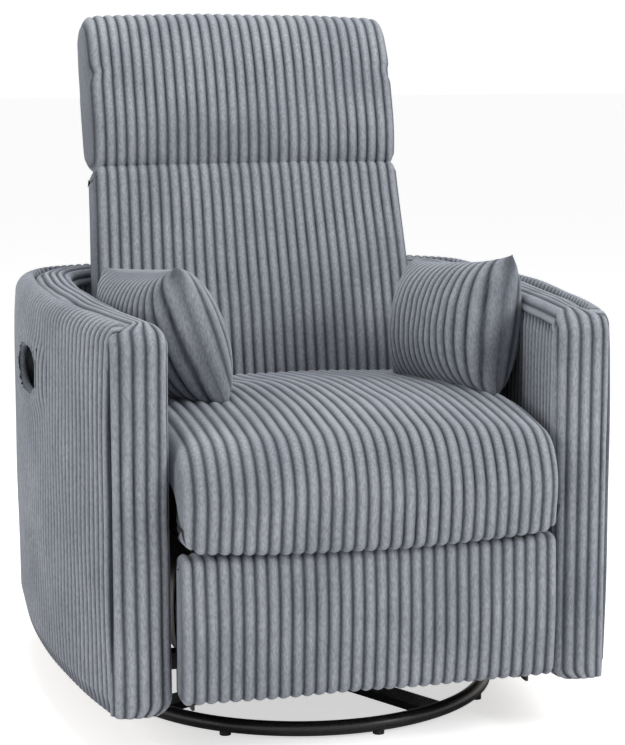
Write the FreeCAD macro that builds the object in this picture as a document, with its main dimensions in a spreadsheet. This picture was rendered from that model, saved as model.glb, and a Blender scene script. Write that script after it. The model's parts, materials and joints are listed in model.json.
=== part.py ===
import FreeCAD, Part
import math
import os
import re
import Sketcher
from FreeCAD import Placement, Rotation, Vector

# Swivel glider recliner: millimetres, +Z up, the sitter faces -Y.
# The origin is on the floor, on the swivel's axis.

SIZES = {
    # ring base and floor glides
    "ring_outer": 608, "ring_tube": 22, "glide_drop": 4, "glide_width": 17,
    "crossbar_width": 40, "crossbar_thick": 12, "crossbar_low": 12, "crossbar_angle": 28,
    # swivel bearing
    "plate_width": 200, "plate_thick": 4, "plate_gap": 4, "ball_width": 8, "ball_circle": 120,
    "kingpin_width": 20, "kingpin_head": 30, "head_thick": 4, "bolt_width": 6, "bolt_head": 12,
    "bolt_circle": 170,
    # clearances
    "running_fit": 0.05, "roller_fit": 0.3, "slide_fit": 0.6, "cushion_fit": 2,
    # glider: turntable frame, hangers and swinging links
    "rail_inset": 45, "rail_width": 30, "rail_thick": 14, "cross_high": 16, "cross_width": 30,
    "pivot_spread": 130, "pivot_high": 215, "link_drop": 130, "hanger_inner": 217,
    "hanger_thick": 4, "hanger_width": 40, "hanger_low": 50, "glide_link_inner": 210,
    "glide_link_thick": 6, "glide_link_width": 26, "bush_wall": 3, "hanger_pin": 10,
    "shaft_width": 12,
    # carriage chassis
    "chassis_inner": 200, "chassis_thick": 5, "chassis_front": 200, "chassis_rear": 285,
    "chassis_low": 71, "chassis_high": 236, "tube_width": 25, "tube_reach": 345,
    "slide_width": 16, "slide_high": 34, "slide_front": 195,
    # barrel shell
    "barrel_half_width": 412, "front_narrowing": 47, "barrel_front": 371, "barrel_rear": 460,
    "widest_at": 70, "side_bow": 2000, "rear_bow": 2500, "corner_outer": 175,
    "arm_width": 98, "inside_narrowing": 33, "rear_wall": 84, "corner_inner": 100,
    "barrel_low": 84, "barrel_high": 626, "rim_thick": 28, "rim_round": 12, "cover_thick": 10,
    "facing_thick": 14, "ply": 18, "lining_low": 140, "post_width": 20,
    # release handle
    "cup_front": 30, "cup_length": 166, "cup_low": 470, "cup_high": 80, "cup_depth": 46,
    "cup_wall": 3, "paddle_length": 78, "paddle_high": 50, "paddle_thick": 4,
    "latch_pin": 5, "latch_inset": 18,
    # seat
    "runner_length": 300, "runner_front": 190, "runner_wall": 3, "runner_drop": 24,
    "seat_rail_inner": 200, "seat_rail_outer": 224, "seat_rail_high": 46, "seat_rail_rear": 262,
    "seat_rail_front": 338, "cross_rail": 25, "rear_rail_at": 130, "spring_wire": 3.6,
    "spring_wave": 40, "seat_half_width": 271, "seat_bottom": 352, "seat_top": 482,
    "seat_rear": 186, "seat_nose": 420, "nose_low": 318,
    "nose_round": 28,
    # footrest linkage
    "layer_start": 232, "layer_thick": 4, "layer_gap": 1, "link_length": 180, "link_width": 22,
    "link_pin": 10, "anchor_front": 272, "anchor_high": 270, "folded_angle": 80,
    "first_open_angle": 10, "second_open_angle": 40, "slot_wall": 9, "rod_inset": 20,
    "spacer_front": 215, "spacer_length": 110,
    # footrest panel
    "panel_half_width": 271, "panel_low": 97, "panel_top": 307, "panel_front": 402,
    "board_back": 348, "board_thick": 14, "board_inset": 16, "flange_thick": 13,
    "pad_round": 22,
    # backrest
    "lean": 16, "back_front": 185, "back_low": 400, "cushion_thick": 64, "cushion_start": 22,
    "head_seam": 416, "back_length": 668, "back_half_width": 262, "head_half_width": 250,
    "head_bulge": 8, "head_depth": 138, "head_wrap": 28, "cap_thick": 30, "frame_half_width": 225,
    "frame_board": 39, "frame_thick": 20, "strap_thick": 2, "strap_width": 50,
    "rear_cover_thick": 8,
    "rear_cover_half": 235, "back_pivot_rear": 250, "back_pivot_high": 385, "lever_inner": 182,
    "lever_width": 24, "follower_ahead": 110, "follower_drop": 160, "recline_travel": 170,
    "recline_tilt": 28, "back_pin": 12, "cam_wall": 9, "cam_inner": 176,
    # loose pillows
    "pillow_length": 290, "pillow_high": 185, "pillow_thick": 100, "pillow_ahead": 50,
    "pillow_centre": 592, "left_pillow_side": 218, "left_pillow_turn": 101,
    "left_pillow_lean": 19, "right_pillow_side": 228, "right_pillow_turn": 98,
    "right_pillow_lean": 10,
}
GLIDES = 8
BALLS = 24
SPRINGS = 5
SPRING_BENDS = 14
STRAPS = 4

doc = FreeCAD.newDocument("swivel_glider_recliner")
sheet = doc.addObject("Spreadsheet::Sheet", "sizes")
for row, (alias, value) in enumerate(SIZES.items(), 1):
    sheet.set(f"A{row}", alias)
    sheet.set(f"B{row}", str(value))
    sheet.setAlias(f"B{row}", alias)
doc.recompute()

PIECES = []


def size(alias):
    """The number a cell of the sheet holds."""
    return float(sheet.get(alias))


def bind(item, prop, text):
    """Tie one property to the sheet; size names in text stand for their cells."""
    named = re.sub(r"[a-z_]+", lambda word: ("sizes." if word.group() in SIZES else "")
                   + word.group(), str(text))
    item.setExpression(prop, named)


def piece(item, label):
    """Name a finished sub-part; its label is also its file's name."""
    item.Label = label
    PIECES.append(item)
    return item


def box(label, x, y, z):
    """A block between low and high faces, each given in terms of the sheet."""
    item = doc.addObject("Part::Box", label)
    for axis, prop, (low, high) in zip("xyz", ("Length", "Width", "Height"), (x, y, z)):
        bind(item, prop, f"({high}) - ({low})")
        bind(item, f"Placement.Base.{axis}", low)
    return item


def rod(label, axis, ends, centre, width):
    """A round bar along one axis; centre holds its place on the other two."""
    turns = {"x": Rotation(Vector(0, 1, 0), 90), "z": Rotation()}
    item = doc.addObject("Part::Cylinder", label)
    item.Placement = Placement(Vector(), turns[axis])
    bind(item, "Radius", f"({width}) / 2")
    bind(item, "Height", f"({ends[1]}) - ({ends[0]})")
    bind(item, f"Placement.Base.{axis}", ends[0])
    for other, place in zip([name for name in "xyz" if name != axis], centre):
        bind(item, f"Placement.Base.{other}", place)
    return item


def cut(label, base, *tools):
    """base with every tool taken away."""
    tool = tools[0] if len(tools) == 1 else group(label + "_tools", tools)
    item = doc.addObject("Part::Cut", label)
    item.Base = base
    item.Tool = tool
    return item


def fuse(label, *items):
    """Several solids joined into one."""
    item = doc.addObject("Part::MultiFuse", label)
    item.Shapes = list(items)
    return item


def group(label, items):
    """Separate solids that share one node."""
    item = doc.addObject("Part::Compound", label)
    item.Links = list(items)
    return item


def cast(label, shape, place=Vector()):
    """A solid whose outline comes from a formula."""
    item = doc.addObject("Part::Feature", label)
    item.Shape = shape
    item.Placement = Placement(place, Rotation())
    return item


def mirrored(low, high, side):
    """The span low to high on the right, or its mirror image on the left."""
    return (low, high) if side > 0 else (f"-({high})", f"-({low})")


def both_sides(label, make):
    """One node that holds a right-hand and a left-hand copy."""
    return piece(group(label, [make(side) for side in (1, -1)]), label)


def face(edges):
    return Part.Face(Part.Wire(Part.__sortEdges__(edges)))


def polygon(points):
    """A face in the YZ plane from (y, z) corners."""
    corners = [Vector(0, y, z) for y, z in points]
    return Part.Face(Part.makePolygon(corners + corners[:1]))


def disc(centre, width):
    return Part.Face(Part.Wire(Part.makeCircle(width / 2, centre, Vector(1, 0, 0))))


def slot(path, width, samples=10):
    """A face in the YZ plane of a given width along path(0) to path(1)."""
    step = 1e-4

    def offset(share, half):
        along = (path(share + step) - path(share - step)).normalize()
        return path(share) + Vector(0, -along.z, along.y) * half

    def tip(share, way):
        along = (path(share + step) - path(share - step)).normalize()
        return path(share) + along * (way * width / 2)

    edges = []
    for half in (width / 2, -width / 2):
        curve = Part.BSplineCurve()
        curve.interpolate([offset(number / samples, half) for number in range(samples + 1)])
        edges.append(curve.toShape())
    for share, way in ((0, -1), (1, 1)):
        arc = Part.Arc(offset(share, width / 2), tip(share, way), offset(share, -width / 2))
        edges.append(arc.toShape())
    return face(edges)


def bar(start, end, width):
    """A straight round-ended bar's face."""
    return slot(lambda share: start + (end - start) * share, width, 1)


def joined(faces):
    """Faces in one plane, merged into one."""
    return faces[0].multiFuse(faces[1:]).removeSplitter() if len(faces) > 1 else faces[0]


def plates(label, outline, inner, thick):
    """A pair of plates cut to one outline, at inner from the middle on both sides."""
    def make(side):
        start = inner if side > 0 else -inner - thick
        return cast(f"{label}_{side + 2}", outline.extrude(Vector(thick, 0, 0)),
                    Vector(start, 0, 0))
    return both_sides(label, make)


def pins(places, width, across=()):
    """Round pins on both sides, with rods that run right across."""
    solids = []
    for low, high, (y, z) in places:
        for side in (1, -1):
            start = low if side > 0 else -high
            solids.append(Part.makeCylinder(width / 2, high - low, Vector(start, y, z),
                                            Vector(1, 0, 0)))
    for reach, (y, z) in across:
        solids.append(Part.makeCylinder(width / 2, 2 * reach, Vector(-reach, y, z),
                                        Vector(1, 0, 0)))
    return solids


# Base: ring on glides, crossbars and the lower half of the swivel

ring_level = "glide_drop + ring_tube / 2"
bars_top = "crossbar_low + crossbar_thick"
lower_top = f"{bars_top} + plate_thick"
upper_low = f"{lower_top} + plate_gap"
upper_top = f"{upper_low} + plate_thick"


def ring(label):
    item = doc.addObject("Part::Torus", label)
    bind(item, "Radius1", "(ring_outer - ring_tube) / 2")
    bind(item, "Radius2", "ring_tube / 2")
    bind(item, "Placement.Base.z", ring_level)
    return item


def crossbar(label, turn):
    item = doc.addObject("Part::Box", label)
    item.Placement = Placement(Vector(), Rotation(Vector(0, 0, 1), 90))
    angle = f"crossbar_angle + {turn}"
    reach = "(ring_outer - ring_tube) / 2 - plate_gap"
    bind(item, "Length", f"2 * ({reach})")
    bind(item, "Width", "crossbar_width")
    bind(item, "Height", "crossbar_thick")
    bind(item, "Placement.Rotation.Angle", angle)
    bind(item, "Placement.Base.x", f"-({reach}) * cos({angle}) + crossbar_width / 2 * sin({angle})")
    bind(item, "Placement.Base.y", f"-({reach}) * sin({angle}) - crossbar_width / 2 * cos({angle})")
    bind(item, "Placement.Base.z", "crossbar_low")
    return item


def around(label, count, circle, turn, make):
    """Copies of a round piece, spaced evenly on a circle about the swivel's axis."""
    items = []
    for number in range(count):
        angle = f"({turn} + {360 * number / count})"
        items.append(make(f"{label}_{number}", f"({circle}) / 2 * cos({angle})",
                          f"({circle}) / 2 * sin({angle})"))
    return items


piece(ring("ring"), "base_ring")
piece(cut("crossbars", fuse("crossed_bars", crossbar("bar_one", 0), crossbar("bar_two", 90)),
          ring("ring_in_bars"),
          *around("bolt_hole", 4, "bolt_circle", "crossbar_angle",
                  lambda label, x, y: rod(label, "z", ("0", bars_top), (x, y),
                                          "bolt_width"))),
      "base_crossbars")
piece(cut("glides",
          group("glide_blanks",
                around("glide", GLIDES, "ring_outer - ring_tube", "8",
                       lambda label, x, y: rod(label, "z", ("0", "ring_tube / 2"), (x, y),
                                               "glide_width"))
                + [rod("centre_foot", "z", ("0", "crossbar_low"), ("0", "0"),
                       "crossbar_width")]),
          ring("ring_in_glides")),
      "base_glides")


def ball_groove(label, level):
    item = doc.addObject("Part::Torus", label)
    bind(item, "Radius1", "ball_circle / 2")
    bind(item, "Radius2", "ball_width / 2 + running_fit")
    bind(item, "Placement.Base.z", level)
    return item


def plate_body(label, low, bore):
    """A round steel plate with a centre bore, padded from a sketch."""
    body = doc.addObject("PartDesign::Body", label)
    sketch = body.newObject("Sketcher::SketchObject", label + "_sketch")
    plane = [item for item in body.Origin.OriginFeatures if item.Role == "XY_Plane"][0]
    sketch.AttachmentSupport = [(plane, "")]
    sketch.MapMode = "FlatFace"
    for number, width in enumerate(("plate_width", bore)):
        circle = Part.Circle(Vector(), Vector(0, 0, 1), 10 * (2 - number))
        sketch.addGeometry(circle, False)
        sketch.addConstraint(Sketcher.Constraint("Coincident", number, 3, -1, 1))
        index = sketch.addConstraint(Sketcher.Constraint("Radius", number, 10 * (2 - number)))
        bind(sketch, f"Constraints[{index}]", f"({width}) / 2")
    pad = body.newObject("PartDesign::Pad", label + "_pad")
    pad.Profile = sketch
    bind(pad, "Length", "plate_thick")
    bind(body, "Placement.Base.z", low)
    return body


ball_level = f"{lower_top} + plate_gap / 2"
bolt_tools = around("plate_hole", 4, "bolt_circle", "crossbar_angle",
                    lambda label, x, y: rod(label, "z", (bars_top, lower_top), (x, y),
                                            "bolt_width"))
piece(cut("lower_plate", plate_body("lower_blank", bars_top, "kingpin_width"),
          ball_groove("lower_groove", ball_level), *bolt_tools), "swivel_lower_plate")
piece(cut("upper_plate",
          plate_body("upper_blank", upper_low, "kingpin_width + 2 * running_fit"),
          ball_groove("upper_groove", ball_level)), "swivel_upper_plate")
piece(fuse("kingpin",
           rod("kingpin_shank", "z", (bars_top, f"{upper_top} + roller_fit"), ("0", "0"),
               "kingpin_width"),
           rod("kingpin_cap", "z", (f"{upper_top} + roller_fit",
                                    f"{upper_top} + roller_fit + head_thick"), ("0", "0"),
               "kingpin_head")), "swivel_kingpin")


def base_bolt(label, x, y):
    shank = rod(label + "_shank", "z", ("crossbar_low", lower_top), (x, y), "bolt_width")
    head = rod(label + "_head", "z", ("crossbar_low - head_thick", "crossbar_low"), (x, y),
               "bolt_head")
    return fuse(label, shank, head)


piece(group("bolts", around("bolt", 4, "bolt_circle", "crossbar_angle", base_bolt)), "base_bolts")


def ball(label, x, y):
    item = doc.addObject("Part::Sphere", label)
    bind(item, "Radius", "ball_width / 2")
    for axis, place in zip("xyz", (x, y, ball_level)):
        bind(item, f"Placement.Base.{axis}", place)
    return item


piece(group("balls", around("ball", BALLS, "ball_circle", "0", ball)), "swivel_balls")

# Turntable: rails on the upper plate, cross members and four hangers

rails_top = f"{upper_top} + rail_thick"
hanger_y = ("pivot_spread - hanger_width / 2", "pivot_spread + hanger_width / 2")
cross_y = ("pivot_spread - cross_width / 2", "pivot_spread + cross_width / 2")
pivot_low = "pivot_high - link_drop"

both_sides("turntable_rails", lambda side: box(
    f"turntable_rail_{side + 2}", mirrored("rail_inset", "rail_inset + rail_width", side),
    (f"-({cross_y[1]})", cross_y[1]), (upper_top, rails_top)))
piece(group("cross_members", [
    box(f"cross_member_{end + 2}", ("-hanger_inner", "hanger_inner"), mirrored(*cross_y, end),
        (rails_top, f"{rails_top} + cross_high")) for end in (1, -1)]), "glider_cross_members")


def four_corners(label, make):
    """One node with a copy at each corner of the glider."""
    items = [make(f"{label}_{side + 2}_{end + 2}", side, end)
             for side in (1, -1) for end in (1, -1)]
    return piece(group(label, items), label)


def hanger(label, side, end):
    span = mirrored("hanger_inner", "hanger_inner + hanger_thick", side)
    blank = box(label + "_blank", span, mirrored(*hanger_y, end),
                ("hanger_low", "pivot_high + hanger_width / 2"))
    eye = rod(label + "_eye", "x", span, (f"{end} * pivot_spread", "pivot_high"), "hanger_pin")
    return cut(label, blank, eye)


four_corners("hanger_plates", hanger)
four_corners("hanger_pins", lambda label, side, end: rod(
    label, "x", mirrored("glide_link_inner - layer_gap", "hanger_inner + hanger_thick", side),
    (f"{end} * pivot_spread", "pivot_high"), "hanger_pin"))

# Glide links: two pairs of swinging plates, each pair fixed to its own shaft

bush_width = "hanger_pin + 2 * bush_wall"
for name, end in (("front", -1), ("rear", 1)):
    y = end * size("pivot_spread")
    top = Vector(0, y, size("pivot_high"))
    low = top - Vector(0, 0, size("link_drop"))
    holes = [disc(top, size("hanger_pin") + 2 * size("bush_wall")),
             disc(low, size("shaft_width"))]
    outline = bar(top, low, size("glide_link_width")).cut(holes[0]).cut(holes[1])
    plates(f"{name}_glide_links", outline, size("glide_link_inner"), size("glide_link_thick"))
    reach = "glide_link_inner + glide_link_thick"
    piece(rod(f"{name}_shaft", "x", (f"-({reach})", reach),
              (f"{end} * pivot_spread", pivot_low), "shaft_width"), f"{name}_glide_shaft")
    both_sides(f"{name}_glide_bushes", lambda side: cut(
        f"{name}_bush_{side + 2}",
        rod(f"{name}_bush_blank_{side + 2}", "x", mirrored("glide_link_inner", reach, side),
            (f"{end} * pivot_spread", "pivot_high"), bush_width),
        rod(f"{name}_bush_bore_{side + 2}", "x", mirrored("glide_link_inner", reach, side),
            (f"{end} * pivot_spread", "pivot_high"), "hanger_pin + 2 * running_fit")))

# Carriage chassis: side plates that hang on the shafts, slide rails and cross tubes

chassis_x = ("chassis_inner", "chassis_inner + chassis_thick")
plank_top = "barrel_low + ply"
slide_x = ("chassis_inner - slide_width / 2", "chassis_inner + slide_width / 2")


def chassis_plate(side):
    span = mirrored(*chassis_x, side)
    blank = box(f"chassis_blank_{side + 2}", span, ("-chassis_front", "chassis_rear"),
                ("chassis_low", "chassis_high"))
    eyes = [rod(f"chassis_eye_{side + 2}_{end + 2}", "x", span,
                (f"{end} * pivot_spread", pivot_low), "shaft_width + 2 * running_fit")
            for end in (1, -1)]
    return cut(f"chassis_{side + 2}", blank, *eyes)


both_sides("carriage_plates", chassis_plate)
both_sides("slide_rails", lambda side: box(
    f"slide_rail_{side + 2}", mirrored(*slide_x, side), ("-slide_front", "chassis_rear"),
    ("chassis_high", "chassis_high + slide_high")))
piece(group("tubes", [
    box("front_tube", ("-tube_reach", "tube_reach"),
        ("-chassis_front - tube_width", "-chassis_front"), (plank_top, f"{plank_top} + tube_width")),
    box("rear_tube", ("-tube_reach", "tube_reach"),
        ("chassis_rear", "chassis_rear + tube_width"), (plank_top, f"{plank_top} + tube_width"))]),
    "carriage_cross_tubes")

# Barrel shell: arms and outer back in one horseshoe


def horseshoe(prefix, inward, front):
    """Edges of the open outline, left front to right front, moved inward by a distance."""
    outer = prefix == "barrel"
    half = size("barrel_half_width") - (0 if outer else size("arm_width"))
    corner = size("corner_outer" if outer else "corner_inner")
    rear = size("barrel_rear") - (0 if outer else size("rear_wall"))
    widest = size("widest_at")
    run = size("barrel_front") + widest
    narrowing = size("front_narrowing" if outer else "inside_narrowing")
    bow = run ** 2 / (2 * narrowing) + narrowing / 2
    side = size("side_bow")
    back = size("rear_bow")
    side_centre = Vector(half - side, widest, 0)
    back_centre = Vector(0, rear - back, 0)
    between = back_centre - side_centre
    gap = between.Length
    along = ((side - corner) ** 2 - (back - corner) ** 2 + gap ** 2) / (2 * gap)
    across = math.sqrt((side - corner) ** 2 - along ** 2)
    unit = between.normalize()
    corner_centre = side_centre + unit * along + Vector(-unit.y, unit.x, 0) * across
    bow_centre = Vector(half - bow, widest, 0)

    def at(centre, radius, angle):
        return centre + Vector(math.cos(angle), math.sin(angle), 0) * (radius - inward)

    def heading(start, end):
        return math.atan2(end.y - start.y, end.x - start.x)

    turn_one = heading(side_centre, corner_centre)
    turn_two = heading(back_centre, corner_centre)
    nose = math.asin((-front - widest) / (bow - inward))
    arcs = [(bow_centre, bow, nose, 0), (side_centre, side, 0, turn_one),
            (corner_centre, corner, turn_one, turn_two),
            (back_centre, back, turn_two, math.pi / 2)]
    edges = []
    for centre, radius, start, end in arcs:
        points = [at(centre, radius, start + (end - start) * share) for share in (0, 0.5, 1)]
        edges.append(Part.Arc(*points).toShape())
        edges.append(Part.Arc(*[Vector(-point.x, point.y, 0) for point in points]).toShape())
    return edges


def ring_wall(first, second, low, high):
    """A wall between two open outlines, closed across both of its front ends."""
    ends = []
    for edges in (first, second):
        points = [vertex.Point for edge in edges for vertex in edge.Vertexes]
        nose = min(point.y for point in points)
        ends.append(sorted([point for point in points if point.y < nose + 1e-6],
                           key=lambda point: point.x))
    caps = [Part.makeLine(ends[0][index], ends[1][index]) for index in (0, -1)]
    base = face(list(first) + list(second) + caps)
    base.translate(Vector(0, 0, low))
    return base.extrude(Vector(0, 0, high - low))


nose_y = size("barrel_front")
cover_y = nose_y - size("facing_thick")
skin = size("cover_thick")
rim_low = size("barrel_high") - size("rim_thick")
outer_line = horseshoe("barrel", 0, nose_y)
inner_line = horseshoe("inside", 0, nose_y)
cup_x = ("-barrel_half_width", "-barrel_half_width + cup_depth")
cup_y = ("-cup_front", "cup_length - cup_front")
cup_z = ("cup_low", "cup_low + cup_high")

cover_blank = cast("cover_blank", ring_wall(horseshoe("barrel", 0, cover_y),
                                            horseshoe("barrel", skin, cover_y),
                                            size("barrel_low"), rim_low))
piece(cut("cover", cover_blank, box("cup_in_cover", cup_x, cup_y, cup_z)), "outer_cover")
piece(cast("lining", ring_wall(horseshoe("inside", -skin, cover_y),
                               horseshoe("inside", 0, cover_y),
                               size("lining_low"), rim_low)), "inner_lining")

rim_shape = ring_wall(outer_line, inner_line, rim_low, size("barrel_high"))
top_edges = [edge for edge in rim_shape.Edges
             if all(abs(vertex.Z - size("barrel_high")) < 1e-6 for vertex in edge.Vertexes)]
piece(cast("rim", rim_shape.makeFillet(size("rim_round"), top_edges)), "arm_rim")

front_wall = ring_wall(outer_line, inner_line, size("barrel_low"), rim_low)
for name, side in (("left", -1), ("right", 1)):
    reach = 2 * size("barrel_half_width")
    corner = Vector(0 if side > 0 else -reach, -nose_y, 0)
    block = Part.makeBox(reach, size("facing_thick"), reach, corner)
    piece(cast(f"facing_{name}", front_wall.common(block)), f"arm_facing_{name}")


ply = size("ply")


def core_wall(low, high):
    """The space between the skins."""
    return ring_wall(horseshoe("barrel", skin, cover_y), horseshoe("inside", -skin, cover_y),
                     low, high)


piece(group("boards", [
    cast("lower_board", core_wall(size("barrel_low"), size("barrel_low") + ply)),
    cast("upper_board", core_wall(rim_low - ply, rim_low))]), "barrel_boards")
core = core_wall(size("barrel_low") + ply, rim_low - ply)
post = size("post_width")
reach = 2 * size("barrel_half_width")
posts = []
for y in (-cover_y, -size("chassis_front") + post, size("chassis_rear") - 4 * post):
    posts.append(core.common(Part.makeBox(2 * reach, post, reach, Vector(-reach, y, 0))))
for x in (-size("seat_rail_outer") / 2, size("seat_rail_outer") / 2):
    posts.append(core.common(Part.makeBox(post, reach, reach, Vector(x - post / 2, 0, 0))))
piece(cast("posts", Part.makeCompound([solid for part in posts for solid in part.Solids])),
      "barrel_posts")

# Release handle in the left arm: a cup with a hinged paddle

hinge_x = "-barrel_half_width + latch_inset"
hinge_y = "-cup_front + 2 * cup_wall + latch_pin"
inside_z = ("cup_low + cup_wall", "cup_low + cup_high - cup_wall")
piece(fuse("cup_and_pin",
           cut("cup", box("cup_blank", cup_x, cup_y, cup_z),
               box("cup_hollow", (cup_x[0], f"{cup_x[1]} - cup_wall"),
                   (f"{cup_y[0]} + cup_wall", f"{cup_y[1]} - cup_wall"), inside_z)),
           rod("latch_hinge", "z", inside_z, (hinge_x, hinge_y), "latch_pin")), "handle_cup")
middle_z = "(cup_low + cup_high / 2)"
paddle_z = (f"{middle_z} - paddle_high / 2", f"{middle_z} + paddle_high / 2")
piece(cut("paddle",
          fuse("paddle_blank",
               box("paddle_plate", (f"{hinge_x} - paddle_thick / 2", f"{hinge_x} + paddle_thick / 2"),
                   (hinge_y, f"{hinge_y} + paddle_length"), paddle_z),
               rod("paddle_sleeve", "z", paddle_z, (hinge_x, hinge_y), "2 * latch_pin")),
          rod("paddle_bore", "z", paddle_z, (hinge_x, hinge_y), "latch_pin + 2 * running_fit")),
      "release_paddle")

# Seat: runners on the slide rails, wooden frame, springs and cushion

slide_top = "chassis_high + slide_high"
runner_top = f"{slide_top} + slide_fit + runner_wall"
frame_top = f"{runner_top} + seat_rail_high"
springs_low = f"{frame_top} + cross_rail"


def runner(side):
    grown = "(slide_width / 2 + slide_fit)"
    length = ("-runner_front", "runner_length - runner_front")
    blank = box(f"runner_blank_{side + 2}",
                mirrored(f"chassis_inner - {grown} - runner_wall",
                         f"chassis_inner + {grown} + runner_wall", side),
                length, (f"{slide_top} - runner_drop", runner_top))
    hollow = box(f"runner_hollow_{side + 2}",
                 mirrored(f"chassis_inner - {grown}", f"chassis_inner + {grown}", side),
                 length, (f"{slide_top} - runner_drop", f"{slide_top} + slide_fit"))
    return cut(f"runner_{side + 2}", blank, hollow)


both_sides("seat_runners", runner)
both_sides("seat_side_rails", lambda side: box(
    f"seat_rail_{side + 2}", mirrored("seat_rail_inner", "seat_rail_outer", side),
    ("-seat_rail_front", "seat_rail_rear"), (runner_top, frame_top)))
cross_x = ("-seat_rail_outer", "seat_rail_outer")
piece(group("cross_rails", [
    box("front_rail", cross_x, ("-seat_rail_front", "-seat_rail_front + cross_rail"),
        (frame_top, springs_low)),
    box("rear_rail", cross_x, ("rear_rail_at", "rear_rail_at + cross_rail"),
        (frame_top, springs_low))]), "seat_cross_rails")


def wave_spring(x, start, end, level):
    """A flat zigzag wire with half-round bends from the front rail to the rear rail."""
    pitch = (end - start) / SPRING_BENDS
    half = size("spring_wave") / 2
    radius = pitch / 2
    edges = [Part.makeLine(Vector(x, start, level), Vector(x + half, start, level))]
    for bend in range(SPRING_BENDS):
        side = 1 if bend % 2 == 0 else -1
        y = start + bend * pitch
        edge_x = x + side * half
        edges.append(Part.Arc(Vector(edge_x, y, level),
                              Vector(edge_x + side * radius, y + radius, level),
                              Vector(edge_x, y + pitch, level)).toShape())
        last = x if bend == SPRING_BENDS - 1 else x - side * half
        edges.append(Part.makeLine(Vector(edge_x, y + pitch, level),
                                   Vector(last, y + pitch, level)))
    path = Part.Wire(edges)
    ring_edge = Part.makeCircle(size("spring_wire") / 2, Vector(x, start, level), Vector(1, 0, 0))
    return path.makePipeShell([Part.Wire(ring_edge)], True, True)


rail_base = size("chassis_high") + size("slide_high") + size("slide_fit") + size("runner_wall")
spring_level = rail_base + size("seat_rail_high") + size("cross_rail") + size("spring_wire") / 2
spring_pitch = 2 * size("seat_rail_inner") / SPRINGS
piece(cast("springs", Part.makeCompound([
    wave_spring((number - (SPRINGS - 1) / 2) * spring_pitch,
                -size("seat_rail_front") + size("cross_rail") / 2,
                size("rear_rail_at") + size("cross_rail") / 2, spring_level)
    for number in range(SPRINGS)])), "seat_springs")

rear_y = size("seat_rear")
nose = -size("seat_nose")
bottom_z = size("seat_bottom")
top_z = size("seat_top")
behind_nose = -size("seat_rail_front") - 2 * size("cushion_fit")
curve = size("nose_round")
seat_side = polygon([
    (rear_y, bottom_z), (behind_nose, bottom_z), (behind_nose, size("nose_low")),
    (nose + curve, size("nose_low")), (nose, size("nose_low") + curve),
    (nose, top_z - 2.5 * curve), (nose + curve, top_z - curve),
    (nose + 3.5 * curve, top_z - curve / 4), (nose + 9 * curve, top_z),
    (rear_y, top_z - curve)])
half = size("seat_half_width")
piece(cast("cushion", seat_side.extrude(Vector(2 * half, 0, 0)), Vector(-half, 0, 0)),
      "seat_cushion")

# Footrest linkage: lazy tongs on both sides

length = size("link_length")
layer = [size("layer_start") + number * (size("layer_thick") + size("layer_gap"))
         for number in range(4)]
thick = size("layer_thick")
inner_layer, outer_layer, seat_layer, bracket_layer = layer
anchor = Vector(0, -size("anchor_front"), size("anchor_high"))
fold = size("folded_angle")
first_sweep = fold - size("first_open_angle")
second_sweep = fold - size("second_open_angle")


def reach_to(angle, distance):
    """A step forward and up; angle is in degrees above straight ahead."""
    turn = math.radians(angle)
    return Vector(0, -distance * math.cos(turn), distance * math.sin(turn))


def tongs(share):
    """Places of the linkage's joints, from folded (0) to extended (1)."""
    first = reach_to(-fold + first_sweep * share, length)
    second = reach_to(fold - second_sweep * share, length)
    return {"middle": anchor + first / 2, "a_end": anchor + first,
            "b_start": anchor + first / 2 - second / 2, "b_end": anchor + first / 2 + second / 2,
            "c_end": anchor + first + second, "d_end": anchor + first * 1.5 + second / 2,
            "d_middle": anchor + first + second / 2}


def turned(vector, angle):
    """A vector in the YZ plane turned so that what points up leans back."""
    turn = math.radians(angle)
    return Vector(0, vector.y * math.cos(turn) + vector.z * math.sin(turn),
                  -vector.y * math.sin(turn) + vector.z * math.cos(turn))


folded = tongs(0)
pin = size("link_pin")
loose = pin + 2 * size("running_fit")
roller = pin + 2 * size("roller_fit")


def seat_path(share):
    return tongs(share)["b_start"]


def bracket_path(share):
    places = tongs(share)
    return folded["c_end"] + turned(places["d_end"] - places["c_end"], -90 * share)


def link(label, start, end, inner, holes):
    """A pair of links with their eyes; holes are centre and width."""
    outline = bar(folded[start] if start in folded else anchor, folded[end], size("link_width"))
    for place, width in holes:
        outline = outline.cut(disc(place, width))
    plates(label, outline, inner, thick)


def place_of(point):
    return (point.y, point.z)


inset_a = anchor + (folded["a_end"] - anchor).normalize() * size("rod_inset")
inset_b = folded["b_start"] + (folded["b_end"] - folded["b_start"]).normalize() * size("rod_inset")
inset_c = folded["a_end"] + (folded["c_end"] - folded["a_end"]).normalize() * size("rod_inset")
inset_d = folded["d_end"] + (folded["b_end"] - folded["d_end"]).normalize() * size("rod_inset")
pair = (inner_layer, outer_layer + thick)
link("link_a", "anchor", "a_end", outer_layer,
     [(anchor, loose), (folded["middle"], pin), (folded["a_end"], pin)])
piece(cast("pins_a", Part.makeCompound(pins([
    pair + (place_of(folded["middle"]),), pair + (place_of(folded["a_end"]),)], pin,
    [(outer_layer, place_of(inset_a))]))), "link_a_pins")
link("link_b", "b_start", "b_end", inner_layer,
     [(folded["b_start"], pin), (folded["middle"], loose), (folded["b_end"], pin)])
piece(cast("pins_b", Part.makeCompound(pins([
    (inner_layer, seat_layer + thick, place_of(folded["b_start"])),
    pair + (place_of(folded["b_end"]),)], pin, [(inner_layer, place_of(inset_b))]))),
    "link_b_pins")
link("link_c", "a_end", "c_end", inner_layer,
     [(folded["a_end"], loose), (folded["d_middle"], roller), (folded["c_end"], pin)])
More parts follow.
